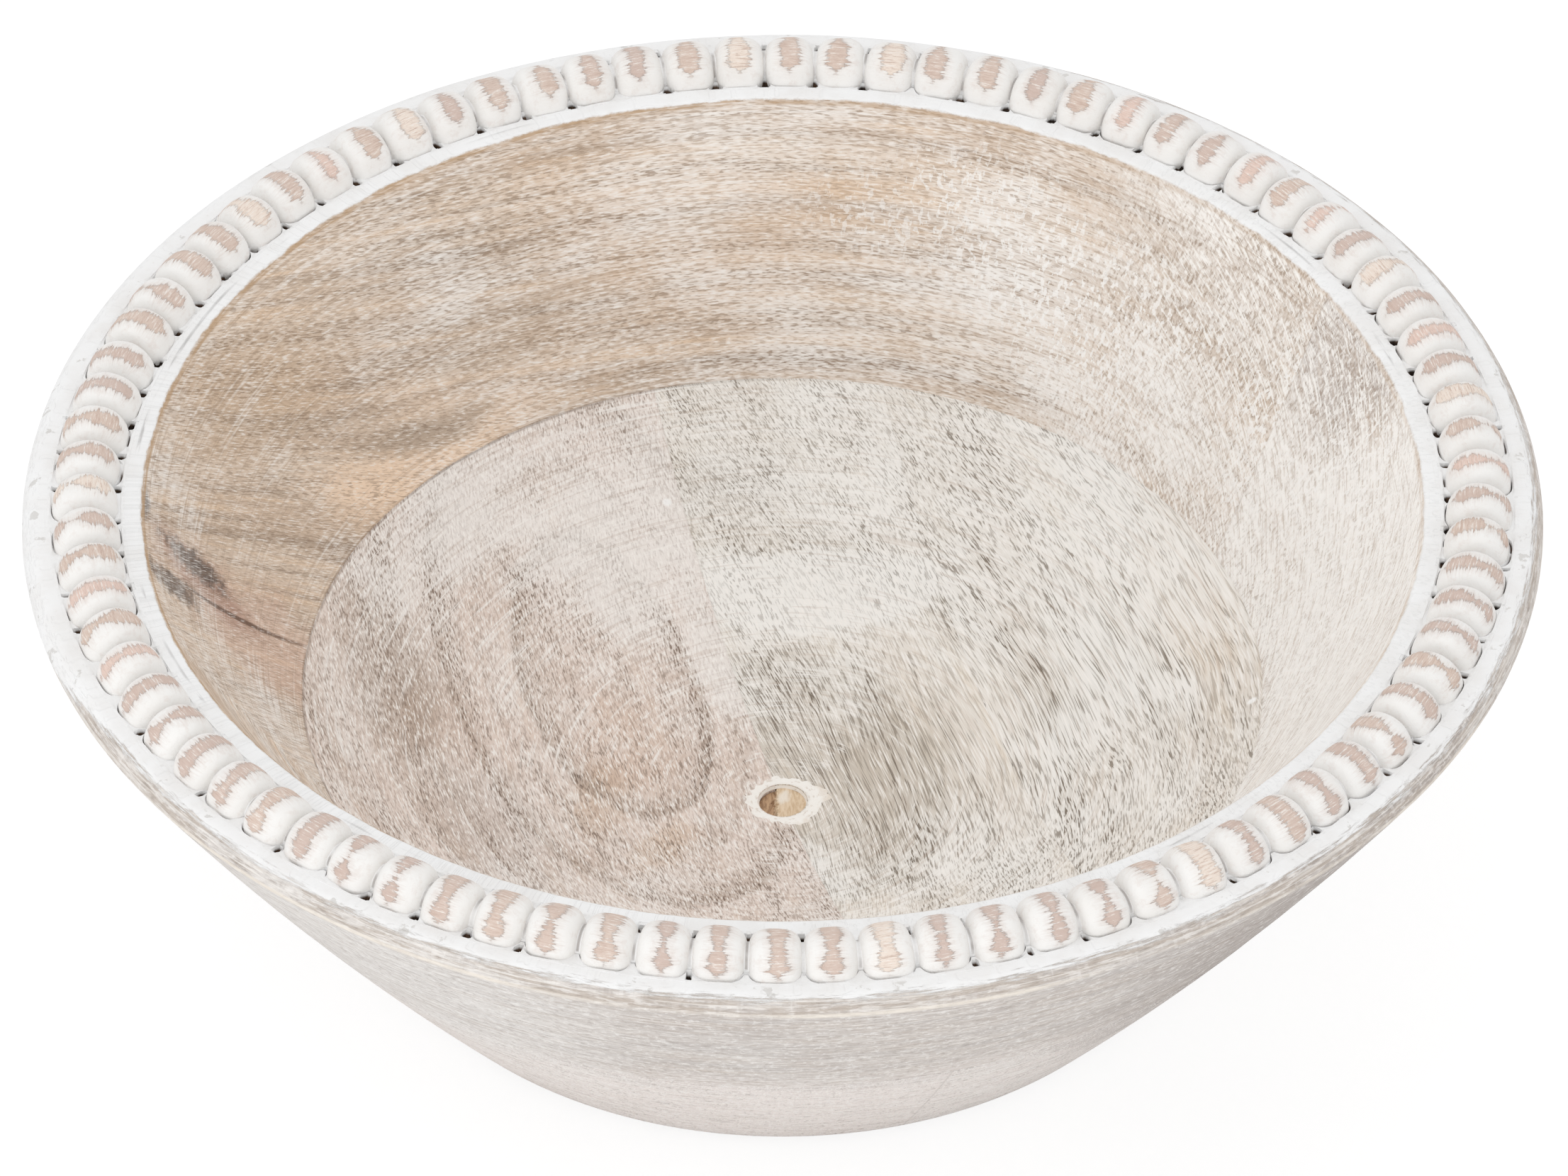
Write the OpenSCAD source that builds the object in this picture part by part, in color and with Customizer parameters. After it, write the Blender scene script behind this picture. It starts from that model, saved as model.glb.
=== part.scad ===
// Turned wooden bowl with a ring of wooden beads let into its rim.
// A floor layer of three boards and a wall layer of two boards are glued up
// and turned to one profile. A groove in the rim holds the beads, end to end,
// and a dowel plug closes the lathe hole in the middle of the floor.
// Sizes are in millimetres, +Z is up and the origin is the centre of the base.

/* [Rim] */
// Outside diameter of the rim
rim_d = 304; // [260:1:380]
// Width of the land between the inner lip and the bead groove
inner_land = 4.2; // [2.5:0.1:10]
// Width of the land between the bead groove and the outer edge
outer_land = 5.8; // [5:0.1:12]
// Radius of the rounded outer edge
edge_r = 3.6; // [1:0.1:4.5]
// Bevel on the inner lip
lip_bevel = 1; // [0.4:0.1:2]

/* [Layers] */
// Thickness of the floor layer
floor_layer = 46; // [36:1:60]
// Height of the wall layer glued on top of it
wall_layer = 50; // [36:1:80]
// Thickness of the floor left at its centre
floor_t = 14; // [8:0.5:24]
// Level thickness of the wall where the two layers meet
joint_wall = 23.7; // [14:0.1:32]
// Diameter over the foot of the wall
base_d = 172; // [140:1:200]
// Bevel round the flat base
base_bevel = 1.5; // [0.5:0.1:4]
// How far the outside swells past a straight line from foot to rim
outer_swell = 1.7; // [0.5:0.1:6]
// How far the inside of the wall is hollowed past a straight line
inner_hollow = 1; // [0.3:0.1:5]

/* [Boards] */
// Direction of the joint between the wall boards, from +X towards +Y
wall_joint_angle = 46; // [0:1:90]
// Distance of that joint from the centre, towards the front
wall_joint_offset = 36; // [0:1:60]
// Direction of the joints between the floor boards, from +X towards +Y
floor_joint_angle = 106; // [60:1:150]
// Width of the middle floor board
middle_board_w = 46; // [20:1:60]

/* [Beads] */
// Diameter of a bead
bead_d = 13.4; // [11:0.1:17]
// Diameter of a bead's flat ends, which sets its length along the bore
bead_end_d = 8.75; // [5:0.05:9]
// Bore of a bead
bead_bore = 3; // [1.5:0.1:4]
// Depth of the bead centres below the land
bead_sink = 0.7; // [0:0.1:3]
// Clearance between a bead and the groove
bead_clear = 0.3; // [0.1:0.05:0.8]
// Least gap between the ends of two beads
bead_gap = 0.12; // [0.05:0.01:1]
// Direction of the first bead, from +X towards +Y
first_bead_angle = -86.2; // [-180:0.1:180]

/* [Plug] */
// Diameter of the plug
plug_d = 9.8; // [6:0.1:16]
// Clearance between the plug and its hole
plug_clear = 0.1; // [0.05:0.05:0.5]
// Depth of the plug's top below the floor
plug_sink = 0.8; // [0:0.1:3]
// Gap between the plug's bottom and the table
plug_lift = 0.5; // [0:0.1:3]

/* [Hidden] */
$fn = 180;
// Amount by which a cutting shape runs past what it cuts
over = 5;

// Heights and radii of the turned profile
rim_r = rim_d / 2;
rim_h = floor_layer + wall_layer;
base_r = base_d / 2;
groove_r = bead_d / 2 + bead_clear;
bead_ring_r = rim_r - outer_land - groove_r;
bead_z = rim_h - bead_sink;
mouth_r = bead_ring_r - groove_r - inner_land;
hole_r = plug_d / 2 + plug_clear;

// Arcs through two points, given how far the arc stands off their chord.
// The arc bulges to the right of the way from the first point to the second.
function arc_r(a, b, rise) = (pow(norm(b - a) / 2, 2) + rise * rise) / (2 * rise);
function right_of(a, b) = [b[1] - a[1], a[0] - b[0]] / norm(b - a);
function arc_centre(a, b, rise) = (a + b) / 2 - right_of(a, b) * (arc_r(a, b, rise) - rise);
// Radius on such an arc at height z
function arc_x(a, b, rise, z) =
    arc_centre(a, b, rise)[0] + sqrt(pow(arc_r(a, b, rise), 2) - pow(z - arc_centre(a, b, rise)[1], 2));

// Outside of the wall, from the foot to the rim's rounded edge
foot = [base_r, 0];
shoulder = [rim_r, rim_h - edge_r];
// Where the bevel round the base meets that arc
heel = [arc_x(foot, shoulder, outer_swell, base_bevel), base_bevel];
// Inside of the wall, from the dished floor to the lip
dish_r = arc_x(foot, shoulder, outer_swell, floor_layer) - joint_wall;
dish_edge = [dish_r, floor_layer];
lip = [mouth_r, rim_h];
// Where the lip's bevel meets the inside of the wall
throat = [arc_x(dish_edge, lip, inner_hollow, rim_h - lip_bevel), rim_h - lip_bevel];
// The dish is part of a ball that rests on the floor's centre
dish_depth = floor_layer - floor_t;
ball_r = (dish_r * dish_r + dish_depth * dish_depth) / (2 * dish_depth);

// Beads
bead_l = sqrt(bead_d * bead_d - bead_end_d * bead_end_d);
bead_step = 2 * atan((bead_l + bead_gap) / 2 / (bead_ring_r - bead_end_d / 2));
bead_count = floor(360 / bead_step);
bead_groups = 41;
function group_start(group) = floor((group - 1) * bead_count / bead_groups);
function group_name(group) = str("beads_", group < 10 ? "0" : "", group);

// Disc whose edge passes through two points of the profile
module arc_disc(a, b, rise) {
    translate(arc_centre(a, b, rise))
        circle(r = arc_r(a, b, rise));
}

// Half of the bowl's outside, up to the rim's land
module outside_profile() {
    intersection() {
        arc_disc(foot, shoulder, outer_swell);
        polygon([[0, 0], foot - [base_bevel, 0], heel, [rim_r + over, base_bevel],
            [rim_r + over, shoulder[1]], [0, shoulder[1]]]);
    }
    difference() {
        translate([0, shoulder[1]])
            square([rim_r, edge_r]);
        translate(shoulder - [edge_r, 0])
            difference() {
                square(edge_r + over);
                circle(r = edge_r);
            }
    }
}

// Half of the hollow above the joint between the layers
module wall_hollow_profile() {
    intersection() {
        arc_disc(dish_edge, lip, inner_hollow);
        translate([0, floor_layer])
            square([rim_r, wall_layer]);
    }
    polygon([[0, throat[1]], throat, lip + [lip_bevel, 0], lip + [lip_bevel, over], [0, rim_h + over]]);
}

// Half of the dished floor below that joint
module dish_profile() {
    intersection() {
        translate([0, floor_t + ball_r])
            circle(r = ball_r);
        square([rim_r, floor_layer + over]);
    }
}

// Section of the groove that the beads sit in
module groove_profile() {
    translate([bead_ring_r, bead_z]) {
        circle(r = groove_r);
        translate([-groove_r, 0])
            square([2 * groove_r, bead_sink + over]);
    }
}

// The wall layer before it is parted into boards
module wall_ring() {
    rotate_extrude()
        difference() {
            intersection() {
                outside_profile();
                translate([0, floor_layer])
                    square([rim_r, wall_layer]);
            }
            wall_hollow_profile();
            groove_profile();
        }
}

// The floor layer before it is parted into boards
module floor_disc() {
    difference() {
        rotate_extrude()
            difference() {
                intersection() {
                    outside_profile();
                    square([rim_r, floor_layer]);
                }
                dish_profile();
            }
        translate([0, 0, -over])
            cylinder(r = hole_r, h = floor_layer + 2 * over);
    }
}

// Block that holds one board: everything from near to far, across the joints
module board(angle, near, far) {
    rotate(angle)
        translate([-rim_d, near, -over])
            cube([2 * rim_d, far - near, rim_h + 2 * over]);
}

module wall_back() {
    color("tan")
        intersection() {
            wall_ring();
            board(wall_joint_angle, -wall_joint_offset, rim_d);
        }
}

module wall_front() {
    color("lightgray")
        intersection() {
            wall_ring();
            board(wall_joint_angle, -rim_d, -wall_joint_offset);
        }
}

module floor_left() {
    color("rosybrown")
        intersection() {
            floor_disc();
            board(floor_joint_angle, 0, rim_d);
        }
}

module floor_middle() {
    color("darkgray")
        intersection() {
            floor_disc();
            board(floor_joint_angle, -middle_board_w, 0);
        }
}

module floor_right() {
    color("silver")
        intersection() {
            floor_disc();
            board(floor_joint_angle, -rim_d, -middle_board_w);
        }
}

module centre_plug() {
    color("burlywood")
        translate([0, 0, plug_lift])
            cylinder(d = plug_d, h = floor_t - plug_sink - plug_lift);
}

// Round bead with flat ends, drilled along Z
module bead() {
    rotate_extrude()
        intersection() {
            circle(d = bead_d);
            translate([bead_bore / 2, -bead_l / 2])
                square([bead_d, bead_l]);
        }
}

// Neighbouring beads, each with its bore along the rim
module beads(group) {
    color("whitesmoke")
        for (i = [group_start(group) : group_start(group + 1) - 1])
            rotate(first_bead_angle + i * 360 / bead_count)
                translate([bead_ring_r, 0, bead_z])
                    rotate([90, 0, 0])
                        bead();
}

wall_back();
wall_front();
floor_left();
floor_middle();
floor_right();
centre_plug();
for (group = [1 : bead_groups])
    beads(group);
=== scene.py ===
import math
import random

import bpy
from mathutils import Matrix, Vector


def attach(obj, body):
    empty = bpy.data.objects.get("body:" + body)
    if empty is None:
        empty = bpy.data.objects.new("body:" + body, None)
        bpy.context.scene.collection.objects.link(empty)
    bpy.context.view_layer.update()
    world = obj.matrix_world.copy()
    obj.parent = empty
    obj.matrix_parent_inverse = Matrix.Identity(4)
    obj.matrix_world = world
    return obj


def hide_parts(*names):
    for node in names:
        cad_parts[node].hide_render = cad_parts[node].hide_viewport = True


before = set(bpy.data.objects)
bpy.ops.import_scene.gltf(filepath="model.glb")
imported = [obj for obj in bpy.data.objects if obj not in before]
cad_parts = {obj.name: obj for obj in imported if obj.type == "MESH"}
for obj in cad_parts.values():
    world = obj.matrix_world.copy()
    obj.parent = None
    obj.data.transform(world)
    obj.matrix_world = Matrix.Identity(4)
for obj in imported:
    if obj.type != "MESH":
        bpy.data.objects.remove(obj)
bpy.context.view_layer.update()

scene = bpy.context.scene
scene.view_settings.view_transform = "Standard"
mm = 0.001

# Sizes of the turned bowl in millimetres, the same as in the CAD
bowl = {
    "rimRadius": 152.0, "rimHeight": 96.0, "edgeRadius": 3.6, "lipBevel": 1.0,
    "mouthRadius": 128.0, "grooveRadius": 7.0, "ringRadius": 139.2, "beadHeight": 95.3,
    "footRadius": 86.0, "footBevel": 1.5, "outerSwell": 1.7, "innerHollow": 1.0,
    "layerHeight": 46.0, "jointWall": 23.7, "floorThickness": 14.0, "holeRadius": 5.0,
    "wallAngle": 46.0, "wallOffset": -36.0, "floorAngle": 106.0, "middleWidth": 46.0,
    "spinSteps": 360,
}


# Small helpers for modelling

def leaveEdit():
    bpy.ops.object.mode_set(mode="OBJECT")


def editAll():
    bpy.ops.object.mode_set(mode="EDIT")
    bpy.ops.mesh.select_all(action="SELECT")


def deselectAll():
    if bpy.context.object and bpy.context.object.mode != "OBJECT":
        leaveEdit()
    bpy.ops.object.select_all(action="DESELECT")


def pickOnly(piece):
    deselectAll()
    piece.select_set(True)
    bpy.context.view_layer.objects.active = piece


def nameNew(name):
    piece = bpy.context.object
    piece.name = name
    return piece


def copyPiece(piece, name):
    twin = piece.copy()
    twin.data = piece.data.copy()
    twin.name = name
    twin.data.name = name
    scene.collection.objects.link(twin)
    return twin


def applyModifier(piece, kind, **settings):
    pickOnly(piece)
    modifier = piece.modifiers.new(kind.lower(), kind)
    for key, value in settings.items():
        setattr(modifier, key, value)
    bpy.ops.object.modifier_apply(modifier=modifier.name)


def cloudTexture(name, size):
    texture = bpy.data.textures.new(name, "CLOUDS")
    texture.noise_scale = size
    return texture


def roughen(piece, texture, strength, level=0.5, **settings):
    applyModifier(piece, "DISPLACE", texture=texture, texture_coords="LOCAL", strength=strength * mm, mid_level=level,
                  **settings)


def thicken(piece, thickness):
    applyModifier(piece, "SOLIDIFY", thickness=thickness * mm, offset=-1.0)


def faceUp(piece):
    editAll()
    bpy.ops.mesh.normals_make_consistent(inside=False)
    leaveEdit()
    if sum(face.normal.z for face in piece.data.polygons) < 0:
        editAll()
        bpy.ops.mesh.flip_normals()
        leaveEdit()


def smoothShade(piece, angle):
    pickOnly(piece)
    bpy.ops.object.shade_smooth_by_angle(angle=math.radians(angle))


def settle(piece, material, slot, *nodes):
    piece.data.materials.clear()
    piece.data.materials.append(material)
    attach(piece, "root")
    if nodes:
        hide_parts(*nodes)


# Small helpers for materials

def tint(red, green, blue):
    def toLinear(value):
        value = value / 255
        return value / 12.92 if value <= 0.04045 else ((value + 0.055) / 1.055) ** 2.4
    return (toLinear(red), toLinear(green), toLinear(blue), 1.0)


def addNode(tree, kind, **settings):
    node = tree.nodes.new(kind)
    for key, value in settings.items():
        setattr(node, key, value)
    return node


def feed(socket, value):
    if isinstance(value, bpy.types.NodeSocket):
        socket.id_data.links.new(value, socket)
    else:
        socket.default_value = value


def treeOf(values):
    return next(value.id_data for value in values if isinstance(value, bpy.types.NodeSocket))


def addFed(kind, *values, **settings):
    # a node beside the ones that feed it, its inputs filled in order
    node = addNode(treeOf(values), kind, **settings)
    for socket, value in zip(node.inputs, values):
        feed(socket, value)
    return node


def calc(operation, *values, clamp=False):
    return addFed("ShaderNodeMath", *values, operation=operation, use_clamp=clamp).outputs[0]


def times(value, *factors):
    for factor in factors:
        value = calc("MULTIPLY", value, factor)
    return value


def timesPlus(value, factor, extra):
    return calc("MULTIPLY_ADD", value, factor, extra)


def plus(value, extra):
    return calc("ADD", value, extra)


def minus(value, less):
    return calc("SUBTRACT", value, less)


def lengthOf(x, y):
    return calc("SQRT", plus(times(x, x), times(y, y)))


def vecCalc(operation, *values):
    return addFed("ShaderNodeVectorMath", *values, operation=operation).outputs[0]


def combine(x, y, z):
    return addFed("ShaderNodeCombineXYZ", x, y, z).outputs[0]


def separate(vector):
    return addFed("ShaderNodeSeparateXYZ", vector).outputs


def turnBack(vector, angle):
    node = addNode(vector.id_data, "ShaderNodeVectorRotate", rotation_type="Z_AXIS", invert=True)
    feed(node.inputs["Vector"], vector)
    feed(node.inputs["Angle"], angle)
    return separate(node.outputs[0])


def remap(value, low, high, toLow=0.0, toHigh=1.0):
    return addFed("ShaderNodeMapRange", value, low, high, toLow, toHigh, interpolation_type="SMOOTHSTEP").outputs[0]


def bandOf(value, start, fullFrom, end, fullTo):
    return times(remap(value, start, fullFrom), remap(value, end, fullTo))


def noiseOf(vector, scale, detail, roughness=0.6):
    node = addNode(vector.id_data, "ShaderNodeTexNoise")
    for label, value in (("Vector", vector), ("Scale", scale), ("Detail", detail), ("Roughness", roughness)):
        feed(node.inputs[label], value)
    return node.outputs[0]


def noiseAlong(parts, detail, roughness=0.6):
    # noise over three values, each with a scale and, at need, a shift
    axes = [timesPlus(*part) if len(part) == 3 else times(*part) for part in parts]
    return noiseOf(combine(*axes), 1.0, detail, roughness)


def mixColour(amount, first, second):
    node = addNode(treeOf((amount, first, second)), "ShaderNodeMix", data_type="RGBA")
    for number, value in ((0, amount), (6, first), (7, second)):
        feed(node.inputs[number], value)
    return node.outputs[2]


def coats(colour, *layers):
    # colours laid one over another, each where its amount says
    for amount, shade in layers:
        colour = mixColour(amount, colour, shade)
    return colour


def rampOf(value, stops):
    # a value read off a line through (place, level) stops
    low, high = stops[0][0], stops[-1][0]
    node = addFed("ShaderNodeValToRGB", timesPlus(value, 1 / (high - low), -low / (high - low)))
    ramp = node.color_ramp
    for number, (place, level) in enumerate(stops):
        spot = (place - low) / (high - low)
        if number < 2:
            stop = ramp.elements[number]
            stop.position = spot
        else:
            stop = ramp.elements.new(spot)
        stop.color = (level, level, level, 1.0)
    return node.outputs[0]


def startGroup(name, inputs, outputs):
    group = bpy.data.node_groups.new(name, "ShaderNodeTree")
    kinds = {"Object": "Vector", "Place": "Vector", "Around": "Vector", "Centre": "Vector", "Colour": "Color"}
    for way, labels in (("INPUT", inputs), ("OUTPUT", outputs)):
        for label in labels:
            group.interface.new_socket(label, in_out=way, socket_type="NodeSocket" + kinds.get(label, "Float"))
    return group, addNode(group, "NodeGroupInput").outputs, addNode(group, "NodeGroupOutput").inputs


def sendOut(out, **values):
    for label, value in values.items():
        feed(out[label], value)


def useGroup(group, **values):
    node = addNode(treeOf(values.values()), "ShaderNodeGroup", node_tree=group)
    for label, value in values.items():
        feed(node.inputs[label], value)
    return node.outputs


def startMaterial(name):
    material = bpy.data.materials.new(name)
    material.use_nodes = True
    return material, material.node_tree.nodes["Principled BSDF"]


def placeOn(shader):
    return useGroup(bowlPlace, Object=addNode(shader.id_data, "ShaderNodeTexCoord").outputs["Object"])


def finishMaterial(shader, colour, roughness, specular, relief, bumpStrength, bumpDepth=0.2):
    feed(shader.inputs["Base Color"], colour)
    feed(shader.inputs["Roughness"], roughness)
    feed(shader.inputs["Specular IOR Level"], specular)
    bump = addNode(shader.id_data, "ShaderNodeBump")
    feed(bump.inputs["Strength"], bumpStrength)
    feed(bump.inputs["Distance"], bumpDepth * mm)
    feed(bump.inputs["Height"], relief)
    feed(shader.inputs["Normal"], bump.outputs[0])


# Shared shader groups. All work in millimetres.

def makeBowlPlace():
    # where a point lies on the turned form: round the axis, out from it, and along the profile
    tree, given, out = startGroup("bowlPlace", ["Object"], [
        "Place", "Radius", "Angle", "Height", "Run", "Inside", "Around"])
    place = vecCalc("SCALE", given["Object"])
    place.node.inputs["Scale"].default_value = 1 / mm
    x, y, z = separate(place)
    radius = lengthOf(x, y)
    angle = calc("ARCTAN2", y, x)
    wallFoot, wallLean, baseTop = 80.5, 0.62, 6.0
    inner = times(calc("LESS_THAN", radius, timesPlus(z, wallLean, wallFoot)), calc("GREATER_THAN", z, baseTop))
    sendOut(out, Place=place, Radius=radius, Angle=angle, Height=z, Run=plus(radius, z), Inside=inner,
            Around=combine(calc("COSINE", angle), calc("SINE", angle), 0.0))
    return tree


def makeBoardGrain():
    # growth rings round a pith line, bands and streaks that follow them, and pore dashes along the grain
    tree, given, out = startGroup("boardGrain", [
        "Place", "Direction", "Bend", "Pith Across", "Pith Height", "Pith Tilt", "Pith Lift", "Ring Wave", "Warp",
        "Seed", "Dash Along", "Dash Across", "Dash Rise"], ["Depth", "Band", "Streak", "Dash"])
    along, across, height = turnBack(given["Place"], given["Direction"])
    across = timesPlus(times(along, along), given["Bend"], across)
    seed = given["Seed"]

    def stretched(perAlong, perAcross, perRise, detail, roughness):
        return noiseAlong(((along, perAlong), (across, perAcross), (height, perRise, seed)), detail, roughness)

    across = plus(across, times(minus(stretched(0.012, 0.026, 0.026, 2.0, 0.55), 0.5), given["Warp"]))
    fromPith = minus(across, given["Pith Across"])
    above = minus(timesPlus(along, given["Pith Tilt"], times(height, given["Pith Lift"])), given["Pith Height"])
    depth = lengthOf(fromPith, above)
    wave = minus(stretched(0.012, 0.16, 0.16, 3.0, 0.6), 0.5)
    depth = timesPlus(wave, given["Ring Wave"], depth)

    def layered(perAlong, perDepth, perAcross, detail, roughness):
        return noiseAlong(((along, perAlong), (depth, perDepth), (across, perAcross, seed)), detail, roughness)

    sendOut(out, Depth=depth, Band=layered(0.006, 0.05, 0.05, 2.0, 0.55),
            Streak=layered(0.012, 0.10, 0.24, 3.0, 0.6),
            Dash=stretched(given["Dash Along"], given["Dash Across"], given["Dash Rise"], 1.0, 0.6))
    return tree


def makeWallGrain():
    # grain of the wall boards as the turned wall shows it: lines that lie level at the back and fall away to the
    # left, and end grain at the right
    tree, given, out = startGroup("wallGrain", ["Around", "Angle", "Height", "Run", "Inside", "Seed"], [
        "Depth", "Band", "Streak", "Dash"])
    x, y, _ = separate(given["Around"])
    angle, inside, seed = given["Angle"], given["Inside"], given["Seed"]
    turned = timesPlus(calc("LESS_THAN", angle, -math.pi / 2), math.tau, angle)
    fallStart, fallSpan, fallEnd, fallGone = (math.radians(degrees) for degrees in (95, 85, 200, 265))
    fallPower, fallDepth = 2.7, -69.0
    lean = timesPlus(calc("MINIMUM", turned, fallEnd), 1 / fallSpan, -fallStart / fallSpan)
    lean = times(calc("POWER", lean, fallPower), calc("GREATER_THAN", turned, fallStart),
                 remap(turned, fallGone, fallEnd))
    flow = plus(given["Height"], times(lean, inside, fallDepth))

    def flowNoise(perTurn, perFlow, detail):
        return noiseAlong(((x, perTurn), (y, perTurn, seed), (flow, perFlow)), detail)

    wave = minus(flowNoise(2.2, 0.05, 3.0), 0.5)
    endGrain = noiseAlong(((x, 190.0), (y, 190.0, seed), (given["Run"], 0.55)), 1.0)
    toEnd = times(remap(turned, math.radians(66), math.radians(46)), inside)
    dash = addNode(tree, "ShaderNodeMix", data_type="FLOAT")
    for number, value in ((0, toEnd), (2, flowNoise(58.0, 3.3, 1.0)), (3, endGrain)):
        feed(dash.inputs[number], value)
    sendOut(out, Depth=timesPlus(wave, 14.0, flow), Band=flowNoise(1.0, 0.09, 2.0), Streak=flowNoise(1.5, 0.42, 2.5),
            Dash=dash.outputs[0])
    return tree


def makeTurningLines():
    # fine lines and broader bands that the lathe and the sanding leave round the axis
    tree, given, out = startGroup("turningLines", ["Around", "Run"], ["Fine", "Band", "Fleck", "Worn", "Grit"])
    x, y, _ = separate(given["Around"])
    for label, perRun, perTurn, detail, roughness in (
            ("Fine", 1.3, 4.0, 2.0, 0.6), ("Band", 0.13, 3.0, 3.0, 0.6), ("Fleck", 0.42, 100.0, 2.0, 0.6),
            ("Worn", 0.9, 11.0, 3.0, 0.65), ("Grit", 1.1, 34.0, 3.0, 0.7)):
        feed(out[label], noiseAlong(((x, perTurn), (y, perTurn), (given["Run"], perRun)), detail, roughness))
    return tree


def makeLimeWash():
    # how much of the thin white wash was left on the wood after wiping
    tree, given, out = startGroup("limeWash", ["Place", "Amount", "Fine", "Band", "Dash"], ["Cover"])
    cloud = noiseOf(given["Place"], 0.03, 4.0, 0.62)
    total = given["Amount"]
    for source, share in ((cloud, 1.10), (given["Fine"], 0.50), (given["Band"], 0.45), (given["Dash"], 0.55)):
        total = timesPlus(minus(source, 0.5), share, total)
    sendOut(out, Cover=remap(total, 0.12, 0.90))
    return tree


def makeSoftSpot():
    # a mark at one place: longer one way than the other, with a ragged edge
    tree, given, out = startGroup("softSpot", [
        "Place", "Centre", "Turn", "Length", "Width", "Ragged", "Grit"], ["Mask"])
    along, across, height = turnBack(vecCalc("SUBTRACT", given["Place"], given["Centre"]), given["Turn"])
    distance = lengthOf(calc("DIVIDE", along, given["Length"]), calc("DIVIDE", across, given["Width"]))
    grit = combine(given["Grit"], given["Grit"], given["Grit"])
    edge = noiseOf(vecCalc("MULTIPLY", combine(times(along, 0.35), across, height), grit), 1.0, 4.0, 0.65)
    distance = timesPlus(minus(edge, 0.5), given["Ragged"], distance)
    sendOut(out, Mask=remap(distance, 1.0, 0.35))
    return tree


def makeChalkPaint():
    # thick chalky white paint: faint brush marks, small pits and warmer thin places
    tree, given, out = startGroup("chalkPaint", ["Place", "Around", "Run"], ["Colour", "Relief"])
    x, y, _ = separate(given["Around"])
    brush = noiseAlong(((x, 9.0), (y, 9.0), (given["Run"], 1.4)), 4.0)
    thin = noiseOf(given["Place"], 0.12, 3.0)
    pits = noiseOf(given["Place"], 1.1, 3.0, 0.7)
    colour = coats(tint(241, 241, 241), (remap(thin, 0.38, 0.68), tint(236, 235, 234)),
                   (remap(pits, 0.62, 0.80, 0.0, 0.35), tint(214, 204, 196)),
                   (remap(brush, 0.60, 0.75, 0.0, 0.20), tint(222, 219, 216)))
    sendOut(out, Colour=colour, Relief=timesPlus(brush, 0.6, times(pits, 0.5)))
    return tree


bowlPlace = makeBowlPlace()
boardGrain = makeBoardGrain()
wallGrain = makeWallGrain()
turningLines = makeTurningLines()
limeWash = makeLimeWash()
softSpot = makeSoftSpot()
chalkPaint = makeChalkPaint()
print("shader groups made")


# Wood of the boards

def chalkOn(at):
    return useGroup(chalkPaint, Place=at["Place"], Around=at["Around"], Run=at["Run"])


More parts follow.
